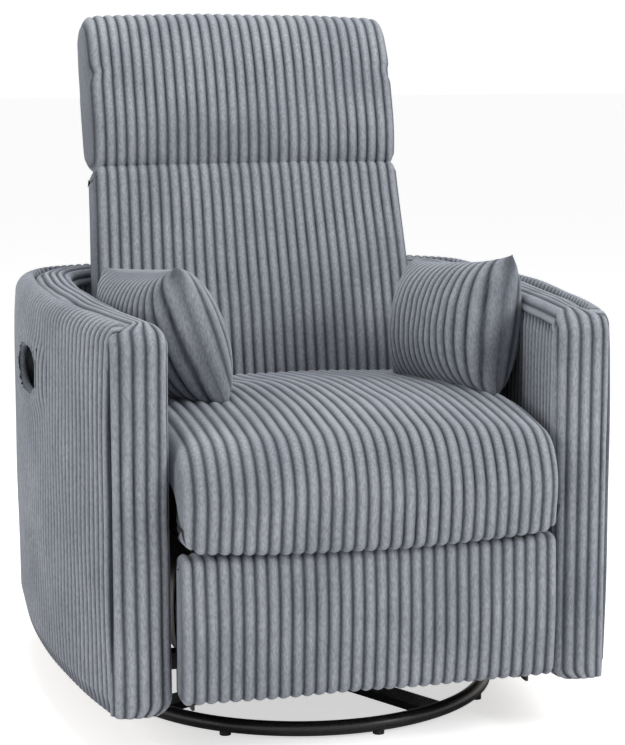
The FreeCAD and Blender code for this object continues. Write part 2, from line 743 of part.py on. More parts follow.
piece(cast("pins_c", Part.makeCompound(pins([
    (inner_layer, bracket_layer + thick, place_of(folded["c_end"]))], pin,
    [(inner_layer, place_of(inset_c))]))), "link_c_pins")
link("link_d", "b_end", "d_end", outer_layer,
     [(folded["b_end"], loose), (folded["d_middle"], pin), (folded["d_end"], pin)])
piece(cast("pins_d", Part.makeCompound(pins([
    (outer_layer, bracket_layer + thick, place_of(folded["d_end"])),
    pair + (place_of(folded["d_middle"]),)], pin, [(outer_layer, place_of(inset_d))]))),
    "link_d_pins")

wall_width = roller + 2 * size("slot_wall")
rail_top = rail_base + size("seat_rail_high")
slot_top = seat_path(1)
plate_rear = -size("spacer_front") + size("spacer_length")
plate_nose = slot_top.y - wall_width / 2
shoulder = anchor.z - 3 * pin
seat_plate = joined([
    slot(seat_path, wall_width),
    bar(slot_top, anchor, wall_width),
    polygon([(plate_rear, rail_top), (plate_rear, rail_top - 3 * pin),
             (anchor.y, shoulder), (plate_nose, shoulder), (plate_nose, rail_top)])])
seat_plate = seat_plate.cut(slot(seat_path, roller)).cut(disc(anchor, pin))
plates("seat_side_plates", seat_plate, seat_layer, thick)
both_sides("plate_spacers", lambda side: box(
    f"spacer_{side + 2}",
    mirrored("seat_rail_outer", "layer_start + 2 * (layer_thick + layer_gap)", side),
    ("-spacer_front", "-spacer_front + spacer_length"),
    (f"{frame_top} - 3 * link_pin", frame_top)))

board_y = -size("board_back")
panel_low = size("panel_low")
panel_top = size("panel_top")
slot_low = bracket_path(0)
slot_high = bracket_path(1)
upright_y = board_y + size("flange_thick") / 2
bracket = joined([
    slot(bracket_path, wall_width),
    bar(slot_high, folded["c_end"], wall_width),
    polygon([(board_y, folded["c_end"].z + pin), (folded["c_end"].y, folded["c_end"].z + pin),
             (folded["c_end"].y, folded["c_end"].z - pin), (upright_y, folded["c_end"].z - 2 * pin),
             (upright_y, slot_low.z + 2 * pin), (slot_low.y, slot_low.z + wall_width / 2),
             (slot_low.y, slot_low.z - wall_width / 2), (board_y, slot_low.z - wall_width / 2)])])
bracket = bracket.cut(slot(bracket_path, roller)).cut(disc(folded["c_end"], loose))
keep = polygon([(board_y, 0), (0, 0), (0, rail_top), (board_y, rail_top)])
plates("footrest_brackets", bracket.common(keep), bracket_layer, thick)
half_board = "(panel_half_width - board_inset)"
piece(box("board", (f"-{half_board}", half_board), ("-board_back - board_thick", "-board_back"),
          ("panel_low + cushion_fit", "panel_top - cushion_fit - board_thick / 2")),
      "footrest_board")
pad_back = board_y - size("board_thick")
pad_front = -size("panel_front")
curve = size("pad_round")
pad_side = polygon([(pad_back, panel_low), (pad_front, panel_low),
                    (pad_front, panel_top - 2 * curve),
                    (pad_front + curve / 2, panel_top - curve / 2),
                    (pad_front + curve, panel_top), (pad_back, panel_top)])
half = size("panel_half_width")
piece(cast("pad", pad_side.extrude(Vector(2 * half, 0, 0)), Vector(-half, 0, 0)), "footrest_pad")

# Backrest: board frame, straps, cushions and rear cover, all leaning back


def leaning(label, x, deep, high):
    """A block in the backrest's own axes: across, rearward and up the lean."""
    item = doc.addObject("Part::Box", label)
    item.Placement = Placement(Vector(), Rotation(Vector(-1, 0, 0), 90))
    bind(item, "Placement.Rotation.Angle", "lean")
    for prop, (low, top) in zip(("Length", "Width", "Height"), (x, deep, high)):
        bind(item, prop, f"({top}) - ({low})")
    bind(item, "Placement.Base.x", x[0])
    bind(item, "Placement.Base.y",
         f"back_front + ({deep[0]}) * cos(lean) + ({high[0]}) * sin(lean)")
    bind(item, "Placement.Base.z",
         f"back_low - ({deep[0]}) * sin(lean) + ({high[0]}) * cos(lean)")
    return item


strap_deep = ("cushion_thick + 1", "cushion_thick + 1 + strap_thick")
frame_deep = (strap_deep[1], f"{strap_deep[1]} + frame_thick")
cover_deep = (frame_deep[1], f"{frame_deep[1]} + rear_cover_thick")
frame_end = "back_length - cap_thick - cushion_fit"
inside_half = "(frame_half_width - frame_board)"
back_rails = [leaning(f"back_rail_{side + 2}", mirrored(inside_half, "frame_half_width", side),
                      frame_deep, ("cushion_start", frame_end)) for side in (1, -1)]
back_rails += [
    leaning(f"back_cross_{number}", (f"-{half}", half), frame_deep,
            (low, f"{low} + strap_width"))
    for number, (low, half) in enumerate((("cushion_start", "lever_inner"),
                                          ("head_seam - strap_width", inside_half),
                                          (f"{frame_end} - strap_width", inside_half)))]
piece(group("back_rails", back_rails), "back_frame")
piece(group("straps", [
    leaning(f"strap_{number}", ("-frame_half_width", "frame_half_width"), strap_deep,
            (f"cushion_start + {number + 1} * (head_seam - cushion_start) / {STRAPS + 1}",
             f"cushion_start + {number + 1} * (head_seam - cushion_start) / {STRAPS + 1}"
             " + strap_width"))
    for number in range(STRAPS)]), "back_straps")
piece(leaning("lower_cushion", ("-back_half_width", "back_half_width"), ("0", "cushion_thick"),
              ("cushion_start", "head_seam - cushion_fit / 2")), "back_cushion")
head_x = ("-head_half_width", "head_half_width")
piece(fuse("head",
           leaning("head_front", head_x, ("-head_bulge", "cushion_thick"),
                   ("head_seam + cushion_fit / 2", "back_length")),
           leaning("head_cap", head_x, ("0", "head_depth - head_bulge"),
                   ("back_length - cap_thick", "back_length")),
           leaning("head_rear", head_x, (f"{cover_deep[1]} + 1", "head_depth - head_bulge"),
                   ("head_seam + head_wrap", "back_length"))), "head_cushion")
piece(leaning("rear_panel", ("-rear_cover_half", "rear_cover_half"), cover_deep,
              ("0", frame_end)), "rear_cover")

back_pivot = Vector(0, size("back_pivot_rear"), size("back_pivot_high"))
follower = Vector(0, -size("follower_ahead"), -size("follower_drop"))
lean = size("lean")
back_pin = size("back_pin")
lever_width = size("lever_width")


def cam_path(share):
    return (back_pivot + Vector(0, -size("recline_travel") * share, 0)
            + turned(follower, size("recline_tilt") * share))


heel = back_pivot + Vector(0, 0, follower.z)
back_foot = Vector(0, size("back_front"), size("back_low"))
in_frame = size("cushion_thick") + 1 + size("strap_thick") + size("frame_thick") / 2
lever_knee = back_foot + turned(Vector(0, in_frame, size("frame_thick") / 2), lean)
upper_lever = back_foot + turned(Vector(0, in_frame, size("strap_width") * 3), lean)
lever = joined([bar(back_pivot, lever_knee, size("frame_thick")),
                bar(lever_knee, upper_lever, size("frame_thick")), disc(back_pivot, lever_width),
                bar(back_pivot, heel, lever_width),
                bar(heel, back_pivot + follower, lever_width)])
lever = lever.cut(disc(back_pivot, back_pin + 2 * size("running_fit")))
lever = lever.cut(disc(back_pivot + follower, back_pin))
plates("back_levers", lever, size("lever_inner"), thick)
follower_pins = pins([
    (size("cam_inner") - 1, size("lever_inner") + thick, place_of(back_pivot + follower))],
    back_pin)
piece(cast("followers", Part.makeCompound(follower_pins)), "back_lever_pins")

cam_slot = slot(cam_path, back_pin + 2 * size("roller_fit"))
cam_band = slot(cam_path, back_pin + 2 * size("roller_fit") + 2 * size("cam_wall"))
start, end = cam_path(0), cam_path(1)
strip_low = size("barrel_low") + ply
strip_top = strip_low + size("tube_width")
cam = joined([
    cam_band,
    polygon([(end.y, end.z), (end.y, strip_low), (start.y, strip_low), (start.y, start.z)]),
    polygon([(-size("chassis_front"), strip_low), (size("chassis_rear"), strip_low),
             (size("chassis_rear"), strip_top), (-size("chassis_front"), strip_top)])])
plates("cam_plates", cam.cut(cam_slot), size("cam_inner"), thick)


def pivot_bracket(side):
    span = mirrored("seat_rail_inner - layer_thick", "seat_rail_inner", side)
    blank = box(f"bracket_blank_{side + 2}", span,
                ("back_pivot_rear - lever_width / 2", "back_pivot_rear + lever_width / 2"),
                (f"{runner_top} + layer_gap", "back_pivot_high + lever_width / 2"))
    eye = rod(f"bracket_eye_{side + 2}", "x", span, ("back_pivot_rear", "back_pivot_high"),
              "back_pin")
    return cut(f"bracket_{side + 2}", blank, eye)


both_sides("back_pivot_brackets", pivot_bracket)
seat_pins = pins([
    (outer_layer, seat_layer + thick, place_of(anchor))], pin)
seat_pins += pins([
    (size("lever_inner"), size("seat_rail_inner"), place_of(back_pivot))], back_pin)
piece(cast("pivots", Part.makeCompound(seat_pins)), "seat_pivot_pins")

# Two loose pillows that lean on the inside of the arms

half_pillow = size("pillow_length") / 2
pillow_high = size("pillow_high")
bulge = size("pillow_thick") / 2
for name, side in (("left", -1), ("right", 1)):
    ends = [Vector(-half_pillow, 0, 0), Vector(half_pillow, 0, 0)]
    lens = face([Part.Arc(ends[0], Vector(0, way * bulge, 0), ends[1]).toShape()
                 for way in (1, -1)])
    solid = lens.extrude(Vector(0, 0, pillow_high))
    solid.translate(Vector(0, 0, -pillow_high / 2))
    item = cast(f"pillow_{name}_form", solid)
    centre = Vector(side * size(f"{name}_pillow_side"), -size("pillow_ahead"),
                    size("pillow_centre"))
    item.Placement = Placement(
        centre, Rotation(Vector(0, 0, 1), size(f"{name}_pillow_turn"))
        * Rotation(Vector(1, 0, 0), side * size(f"{name}_pillow_lean")))
    piece(item, f"pillow_{name}")

# Check every object, then write one file for each sub-part

doc.recompute()
for item in doc.Objects:
    if "Invalid" in item.State or "Error" in item.State:
        raise RuntimeError(f"{item.Label} failed: {item.State}")
os.makedirs("parts", exist_ok=True)
for item in PIECES:
    if item.Shape.isNull() or not item.Shape.isValid():
        raise RuntimeError(f"{item.Label} has no sound shape")
    item.Shape.exportStep(f"parts/{item.Label}.step")
print(len(PIECES), "sub-parts")
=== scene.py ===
import json
import math

import bpy
import numpy as np
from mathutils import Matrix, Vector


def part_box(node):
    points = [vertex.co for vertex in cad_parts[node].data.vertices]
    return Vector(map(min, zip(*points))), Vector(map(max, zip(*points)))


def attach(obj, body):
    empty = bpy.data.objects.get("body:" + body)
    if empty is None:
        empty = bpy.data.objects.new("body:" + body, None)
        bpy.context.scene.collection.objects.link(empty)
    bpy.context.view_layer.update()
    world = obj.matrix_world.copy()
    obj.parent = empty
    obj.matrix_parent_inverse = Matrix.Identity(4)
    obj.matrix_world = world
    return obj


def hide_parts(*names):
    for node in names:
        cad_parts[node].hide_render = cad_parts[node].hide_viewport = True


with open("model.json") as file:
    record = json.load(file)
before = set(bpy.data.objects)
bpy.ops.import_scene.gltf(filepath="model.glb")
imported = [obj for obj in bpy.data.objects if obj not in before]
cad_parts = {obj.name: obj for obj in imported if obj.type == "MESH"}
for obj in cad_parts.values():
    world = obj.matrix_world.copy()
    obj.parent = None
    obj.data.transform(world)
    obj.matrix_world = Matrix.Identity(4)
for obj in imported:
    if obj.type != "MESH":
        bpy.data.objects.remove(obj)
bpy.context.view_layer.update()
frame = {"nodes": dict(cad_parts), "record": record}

# Corduroy: distance from groove to groove, height of a crest, samples across one rib, and the
# share of a rib's height that lies inside the line of the cloth
PITCH = 0.0172
CREST = 0.0046
FINE = 8
SUNK = 0.8

# Barrel outline, as the frame has it, and how many points each of its arcs gets
OUTER = {"half": 0.412, "front": 0.365, "corner": 0.175, "rear": 0.460}
INNER = {"half": 0.314, "front": 0.281, "corner": 0.100, "rear": 0.376}
NOSE = -0.371
WIDEST = 0.070
SIDE_BOW = 2.0
REAR_BOW = 2.5
ARC_POINTS = 40

# Barrel walls: lowest edge, roll over the arm, seam on its top, tuck of a wall's edge under the
# strip, and where the walls start behind the front
BARREL_LOW = 0.084
LINING_LOW = 0.142
ARM_ROLL = 0.030
TOP_SEAM = 0.032
TUCK = 0.004
PANEL_START = NOSE + 0.015

# Strip on the rim and the arm fronts: top, drop of its edges, rounding, bend from front to top,
# the turn of the bend from which it narrows, and the rounding at its foot
RIM_TOP = 0.626
RIM_DROP = 0.027
RIM_ROUND = 0.017
RIM_BEND = 0.040
NARROWS_FROM = 0.80
STRIP_FOOT = 0.016
SEAM_LEVEL = RIM_TOP - RIM_DROP

# Backrest axes: foot of its front face and its lean
BACK_FOOT = (0.185, 0.400)
LEAN = math.radians(16)

# Handle opening: power of its oval, and the welt's width and height round it
OVAL_POWER = 2.4
WELT_WIDE = 0.008
WELT_HIGH = 0.006


# Materials

def new_material(name):
    material = bpy.data.materials.new(name)
    material.use_nodes = True
    nodes = material.node_tree.nodes
    return material, nodes, material.node_tree.links, nodes["Principled BSDF"]


def noise(nodes, links, scale, detail=4.0, stretch=(1, 1, 1)):
    """A noise texture in object space."""
    place = nodes.new("ShaderNodeTexCoord")
    mapping = nodes.new("ShaderNodeMapping")
    mapping.inputs["Scale"].default_value = stretch
    texture = nodes.new("ShaderNodeTexNoise")
    texture.inputs["Scale"].default_value = scale
    texture.inputs["Detail"].default_value = detail
    links.new(place.outputs["Object"], mapping.inputs["Vector"])
    links.new(mapping.outputs["Vector"], texture.inputs["Vector"])
    return texture


def ramp(nodes, links, source, stops):
    """Colours by value; stops are (place, colour)."""
    item = nodes.new("ShaderNodeValToRGB")
    elements = item.color_ramp.elements
    while len(elements) < len(stops):
        elements.new(0.5)
    for element, (place, colour) in zip(elements, stops):
        element.position = place
        element.color = (*colour, 1)
    links.new(source, item.inputs["Fac"])
    return item


def mix(nodes, links, kind, factor, first, second):
    item = nodes.new("ShaderNodeMix")
    item.data_type = "RGBA"
    item.blend_type = kind
    item.inputs["Factor"].default_value = factor
    links.new(first, item.inputs[6])
    links.new(second, item.inputs[7])
    return item.outputs[2]


def bump(nodes, links, shader, height, strength, distance, below=None):
    item = nodes.new("ShaderNodeBump")
    item.inputs["Strength"].default_value = strength
    item.inputs["Distance"].default_value = distance
    links.new(height, item.inputs["Height"])
    if below:
        links.new(below, item.inputs["Normal"])
    links.new(item.outputs["Normal"], shader.inputs["Normal"])
    return item.outputs["Normal"]


def corduroy():
    """Wide-wale velvet corduroy: painted shade in the grooves, painted light on the crests, and
    brushed pile.
    """
    material, nodes, links, shader = new_material("corduroy")
    height = nodes.new("ShaderNodeAttribute")
    height.attribute_name = "rib"
    # Colour by rib height: painted shade darkens the grooves and painted light brightens the
    # crests
    ribs = ramp(nodes, links, height.outputs["Fac"],
                [(0.0, (0.030, 0.033, 0.042)), (0.35, (0.115, 0.124, 0.144)),
                 (0.75, (0.315, 0.331, 0.366)), (1.0, (0.435, 0.455, 0.495))])
    patches = ramp(nodes, links, noise(nodes, links, 9.0, 3.0).outputs["Fac"],
                   [(0.3, (0.76, 0.77, 0.79)), (0.7, (1.0, 1.0, 1.0))])
    pile = ramp(nodes, links, noise(nodes, links, 420.0, 3.0, (1, 1, 0.35)).outputs["Fac"],
                [(0.32, (0.66, 0.66, 0.67)), (0.66, (1.0, 1.0, 1.0))])
    # Painted groove shade and crest light, times random patches of worn pile
    groove_shade_and_wear = mix(nodes, links, "MULTIPLY", 1.0, ribs.outputs["Color"], patches.outputs["Color"])
    colour = mix(nodes, links, "MULTIPLY", 1.0, groove_shade_and_wear, pile.outputs["Color"])
    links.new(colour, shader.inputs["Base Color"])
    shader.inputs["Roughness"].default_value = 0.92
    shader.inputs["Specular IOR Level"].default_value = 0.15
    shader.inputs["Sheen Weight"].default_value = 0.30
    shader.inputs["Sheen Roughness"].default_value = 0.45
    shader.inputs["Sheen Tint"].default_value = (0.80, 0.86, 0.97, 1)
    brushed = noise(nodes, links, 160.0, 3.0, (1, 1, 0.5))
    first = bump(nodes, links, shader, brushed.outputs["Fac"], 0.5, 0.0018)
    bump(nodes, links, shader, noise(nodes, links, 900.0, 2.0).outputs["Fac"], 0.5, 0.0007,
         first)
    return material


def steel(name, colour, metallic, roughness, grain):
    material, nodes, links, shader = new_material(name)
    texture = noise(nodes, links, grain, 5.0)
    tone = ramp(nodes, links, texture.outputs["Fac"],
                [(0.3, tuple(0.75 * part for part in colour)), (0.7, colour)])
    links.new(tone.outputs["Color"], shader.inputs["Base Color"])
    rough = ramp(nodes, links, texture.outputs["Fac"],
                 [(0.3, (roughness * 0.8,) * 3), (0.7, (roughness * 1.2,) * 3)])
    links.new(rough.outputs["Color"], shader.inputs["Roughness"])
    shader.inputs["Metallic"].default_value = metallic
    bump(nodes, links, shader, texture.outputs["Fac"], 0.15, 0.0004)
    return material


def timber():
    material, nodes, links, shader = new_material("timber")
    grain = noise(nodes, links, 14.0, 8.0, (1, 1, 9))
    tone = ramp(nodes, links, grain.outputs["Fac"],
                [(0.25, (0.30, 0.19, 0.10)), (0.55, (0.52, 0.37, 0.22)),
                 (0.8, (0.62, 0.47, 0.31))])
    links.new(tone.outputs["Color"], shader.inputs["Base Color"])
    shader.inputs["Roughness"].default_value = 0.7
    bump(nodes, links, shader, grain.outputs["Fac"], 0.2, 0.001)
    return material


def moulded(name, colour, roughness):
    material, nodes, links, shader = new_material(name)
    texture = noise(nodes, links, 700.0, 2.0)
    tone = ramp(nodes, links, noise(nodes, links, 25.0).outputs["Fac"],
                [(0.3, tuple(0.8 * part for part in colour)), (0.7, colour)])
    links.new(tone.outputs["Color"], shader.inputs["Base Color"])
    shader.inputs["Roughness"].default_value = roughness
    bump(nodes, links, shader, texture.outputs["Fac"], 0.3, 0.0003)
    return material


def strap_cloth():
    material, nodes, links, shader = new_material("webbing")
    weave = nodes.new("ShaderNodeTexWave")
    weave.inputs["Scale"].default_value = 130.0
    place = nodes.new("ShaderNodeTexCoord")
    links.new(place.outputs["Object"], weave.inputs["Vector"])
    tone = ramp(nodes, links, weave.outputs["Fac"],
                [(0.2, (0.012, 0.012, 0.013)), (0.8, (0.05, 0.05, 0.055))])
    links.new(tone.outputs["Color"], shader.inputs["Base Color"])
    shader.inputs["Roughness"].default_value = 0.9
    bump(nodes, links, shader, weave.outputs["Fac"], 0.5, 0.0008)
    return material


MATERIALS = {
    "corduroy": corduroy(),
    "black_steel": steel("black_steel", (0.016, 0.016, 0.018), 0.0, 0.32, 300.0),
    "bright_steel": steel("bright_steel", (0.56, 0.56, 0.57), 1.0, 0.35, 120.0),
    "timber": timber(),
    "webbing": strap_cloth(),
    "grey_plastic": moulded("grey_plastic", (0.045, 0.049, 0.056), 0.45),
    "black_rubber": moulded("black_rubber", (0.02, 0.02, 0.021), 0.8),
}


# Mesh tools

def rib(distance):
    """Height of the cloth, 0 in a groove to 1 on a crest."""
    return np.abs(np.sin(math.pi * distance / PITCH)) ** 0.7


def soft(x, y, z, scale=1.0):
    """A smooth uneven field from -1 to 1."""
    x, y, z = x / scale, y / scale, z / scale
    return (np.sin(19 * x + 7 * y + 3) * np.cos(13 * z - 11 * y + 1)
            + 0.6 * np.sin(31 * y - 23 * z + 2) * np.cos(29 * x + 17 * z)
            + 0.4 * np.sin(53 * x - 41 * z + 5) * np.cos(47 * y + 8)) / 2


def smoothstep(value, low, high):
    share = np.clip((value - low) / (high - low), 0, 1)
    return share * share * (3 - 2 * share)


def surface(name, body, points, ribs, caps=True, opening=None):
    """A piece from a rows x columns net, each row closed on itself."""
    rows, columns = points.shape[:2]
    left = np.arange(rows * columns).reshape(rows, columns)
    right = np.roll(left, -1, axis=1)
    quads = np.stack([left[:-1], right[:-1], right[1:], left[1:]], axis=-1).reshape(-1, 4)
    if opening:
        middles = points.reshape(-1, 3)[quads].mean(axis=1)
        quads = quads[~opening(middles)]
    faces = quads.tolist()
    if caps:
        faces.append(left[0][::-1].tolist())
        faces.append(left[-1].tolist())
    mesh = bpy.data.meshes.new(name)
    mesh.from_pydata(points.reshape(-1, 3).tolist(), [], faces)
    mesh.update()
    # The rib height also sets the corduroy's painted groove shade and painted crest light
    height = mesh.attributes.new("rib", "FLOAT", "POINT")
    height.data.foreach_set("value", ribs.reshape(-1).astype(np.float32))
    mesh.polygons.foreach_set("use_smooth", [True] * len(mesh.polygons))
    mesh.materials.append(MATERIALS["corduroy"])
    item = bpy.data.objects.new(name, mesh)
    bpy.context.scene.collection.objects.link(item)
    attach(item, body)
    return item


def resample(points, step):
    """Points evenly spaced along a polyline, about step apart, and their distances."""
    lengths = np.linalg.norm(np.diff(points, axis=0), axis=1)
    along = np.concatenate([[0], np.cumsum(lengths)])
    places = np.linspace(0, along[-1], int(round(along[-1] / step)) + 1)
    return np.stack([np.interp(places, along, points[:, axis])
                     for axis in range(points.shape[1])], axis=-1), places


def rounded(corners, step=0.006):
    """A closed loop of (y, z) from (y, z, radius) corners, each rounded by a curve."""
    spots = [np.array(corner[:2]) for corner in corners]
    path = []
    for number, corner in enumerate(corners):
        here = spots[number]
        before = spots[number - 1] - here
        after = spots[(number + 1) % len(spots)] - here
        cut = min(corner[2], np.linalg.norm(before) * 0.49, np.linalg.norm(after) * 0.49)
        start = here + before / np.linalg.norm(before) * cut
        end = here + after / np.linalg.norm(after) * cut
        for share in np.linspace(0, 1, 12):
            path.append(start * (1 - share) ** 2 + here * 2 * share * (1 - share)
                        + end * share ** 2)
    path.append(path[0])
    return resample(np.array(path), step)[0][:-1]


def outward(loop):
    """Unit normals of a closed loop, pointing away from its inside."""
    along = np.roll(loop, -1, axis=0) - np.roll(loop, 1, axis=0)
    along /= np.linalg.norm(along, axis=1, keepdims=True)
    normal = np.stack([along[:, 1], -along[:, 0]], axis=-1)
    area = np.sum(loop[:, 0] * np.roll(loop[:, 1], -1) - np.roll(loop[:, 0], -1) * loop[:, 1])
    return normal if area > 0 else -normal


def leaned(y, z):
    """From the backrest's own axes to the frame's."""
    return (BACK_FOOT[0] + y * math.cos(LEAN) + z * math.sin(LEAN),
            BACK_FOOT[1] - y * math.sin(LEAN) + z * math.cos(LEAN))


def loaf(name, body, loop, half, edge, crown=0.006, place=None, taper=None):
    """A cushion: a side profile carried across, ribbed lengthwise and rounded at both sides."""
    count = int(round(2 * half / PITCH * FINE))
    across = np.linspace(-half, half, count + 1)
    share = np.abs(across) / half
    run = np.clip((np.abs(across) - (half - edge)) / edge, 0, 1)
    inset = edge * (1 - np.sqrt(np.maximum(1 - run ** 2, 0))) + crown * share ** 2
    normal = outward(loop)
    x = across[:, None] * np.ones(len(loop))[None, :]
    y = np.ones(len(across))[:, None] * loop[None, :, 0]
    z = np.ones(len(across))[:, None] * loop[None, :, 1]
    shift = 0.0015 * soft(x * 0.3, y + 0.3, z, 1.2)
    side = smoothstep(run, 0.75, 1.0)[:, None]
    ribs = rib(across[:, None] + shift) * (1 - side)
    push = 0.0025 * soft(x, y, z, 1.6) - inset[:, None] + CREST * (ribs - SUNK)
    y = y + normal[None, :, 0] * push
    z = z + normal[None, :, 1] * push
    if taper:
        x = x * taper(share[:, None], z)
    if place:
        y, z = place(y, z)
    item = surface(name, body, np.stack([x, y, z], axis=-1), ribs + 0.6 * side)
    return item


# Barrel

def arm_line(shape, start=NOSE + RIM_BEND):
    """The outline from left front to right front, as points matched by share of each arc."""
    half, front, corner, rear = (shape[key] for key in ("half", "front", "corner", "rear"))
    narrowing = half - front
    bow = (WIDEST - NOSE) ** 2 / (2 * narrowing) + narrowing / 2
    side_centre = np.array([half - SIDE_BOW, WIDEST])
    back_centre = np.array([0, rear - REAR_BOW])
    between = back_centre - side_centre
    gap = np.linalg.norm(between)
    along = ((SIDE_BOW - corner) ** 2 - (REAR_BOW - corner) ** 2 + gap ** 2) / (2 * gap)
    off = math.sqrt((SIDE_BOW - corner) ** 2 - along ** 2)
    unit = between / gap
    centre = side_centre + unit * along + np.array([-unit[1], unit[0]]) * off
    turn_one = math.atan2(*(centre - side_centre)[::-1])
    turn_two = math.atan2(*(centre - back_centre)[::-1])
    nose_turn = math.asin((start - WIDEST) / bow)
    arcs = [(np.array([half - bow, WIDEST]), bow, nose_turn, 0.0, 2),
            (side_centre, SIDE_BOW, 0.0, turn_one, 1), (centre, corner, turn_one, turn_two, 2),
            (back_centre, REAR_BOW, turn_two, math.pi / 2, 1)]
    points = []
    for middle, radius, start, end, weight in arcs:
        for turn in np.linspace(start, end, ARC_POINTS * weight, endpoint=False):
            points.append(middle + radius * np.array([math.cos(turn), math.sin(turn)]))
    points.append(np.array([0.0, rear]))
    right = np.array(points)
    left = right * np.array([-1, 1])
    return np.concatenate([left, right[::-1][1:]])


def side_normals(line):
    """Unit normals of the outline, away from the seat."""
    along = np.gradient(line, axis=0)
    along /= np.linalg.norm(along, axis=1, keepdims=True)
    return np.stack([-along[:, 1], along[:, 0]], axis=-1)


def panel(name, shape, section, ribbed, away, node, opening=None, settle=None):
    """An upholstered wall: a closed (offset, height) section carried round the outline."""
    line, places = resample(arm_line(shape, PANEL_START), PITCH / FINE)
    normal = side_normals(line) * away
    outside = outward(section)
    offset, level = section[:, 0], section[:, 1]
    field = soft(line[:, 0, None], line[:, 1, None], level[None, :], 1.5)
    ribs = rib(places[:, None] + 0.0015 * field) * ribbed[None, :]
    push = CREST * (ribs - SUNK) * ribbed[None, :] + 0.0022 * ribbed[None, :] * field
    reach = offset[None, :] + push * outside[None, :, 0]
    points = np.empty((len(line), len(section), 3))
    points[..., 0] = line[:, 0, None] + normal[:, 0, None] * reach
    points[..., 1] = line[:, 1, None] + normal[:, 1, None] * reach
    points[..., 2] = level[None, :] + push * outside[None, :, 1]
    deep = np.clip(NOSE + RIM_BEND - points[..., 1], 0, RIM_BEND * 0.99)
    ceiling = RIM_TOP - RIM_BEND + np.sqrt(RIM_BEND ** 2 - deep ** 2) - TUCK
    points[..., 2] = np.where(deep > 0, np.minimum(points[..., 2], ceiling), points[..., 2])
    if settle:
        points = settle(points)
    item = surface(name, "carriage", points, np.maximum(ribs, 0.3 * (1 - ribbed)),
                   opening=opening)
    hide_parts(node)


def walled(face, thick):
    """A closed section from the points of its ribbed face, low to high, and which are ribbed."""
    rows = len(face)
    ribbed = np.array([1.0] * rows + [0.0] * 3)
    ribbed[0] = ribbed[rows - 1] = 0.4
    top, foot = face[-1], face[0]
    back = [(top[0] - TUCK, top[1] - thick), (-thick, (top[1] + foot[1]) / 2),
            (-thick, foot[1])]
    return np.array(face + back), ribbed


def outer_cover():
    """The outside wall rolls over the arm's edge up to the seam on its top."""
    straight = RIM_TOP - ARM_ROLL
    face = []
    low = BARREL_LOW - 0.003
    cup_low, cup_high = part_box("handle_cup")
    near_cup = (cup_low[2] - 0.020, cup_high[2] + 0.015)
    levels = np.concatenate([np.linspace(low, near_cup[0], 16)[:-1],
                             np.linspace(*near_cup, 48), [straight]])
    for level in levels:
        share = (level - low) / (straight - low)
        swell = TUCK * math.sin(math.pi * min(share, 1.0)) ** 0.5 - TUCK
        hem = 0.003 * (1 - smoothstep(share, 0, 0.04))
        face.append((swell - hem, level))
    for turn in np.linspace(0, math.pi / 2, 12)[1:]:
        face.append((ARM_ROLL * (math.cos(turn) - 1) - TUCK * math.cos(turn),
                     straight + ARM_ROLL * math.sin(turn)))
    face.append((-TOP_SEAM, RIM_TOP - TUCK))
    face.append((-TOP_SEAM - TUCK, RIM_TOP - 0.010))
    section, ribbed = walled(face, 0.014)
    oval = mouth()

    def opening(points):
        return oval(points) < 0.80

    def settle(points):
        near = 1 - smoothstep(oval(points), 1.4, 4.0)
        points[..., 0] -= 0.0050 * near
        return points

    panel("outer_panel", OUTER, section, ribbed, 1, "outer_cover", opening, settle)


def inner_lining():
    face = []
    for share in np.linspace(0, 1, 22):
        swell = 0.003 * math.sin(math.pi * share) ** 0.5
        face.append((swell, LINING_LOW + (SEAM_LEVEL + 0.003 - LINING_LOW) * share))
    section, ribbed = walled(face, 0.010)
    panel("inner_panel", INNER, section, ribbed, -1, "inner_lining")


def cup_oval():
    """Middle and half sizes of the handle cup, along y and along z."""
    low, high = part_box("handle_cup")
    return ((low[1] + high[1]) / 2, (low[2] + high[2]) / 2,
            (high[1] - low[1]) / 2, (high[2] - low[2]) / 2)


def mouth():
    """How far points are from the handle's oval opening, 1 on its edge."""
    middle_y, middle_z, half_y, half_z = cup_oval()

    def oval(points):
        reach = (np.abs((points[..., 1] - middle_y) / half_y) ** OVAL_POWER
                 + np.abs((points[..., 2] - middle_z) / half_z) ** OVAL_POWER)
        return np.where(points[..., 0] < -0.3, reach, 99.0)

    return oval


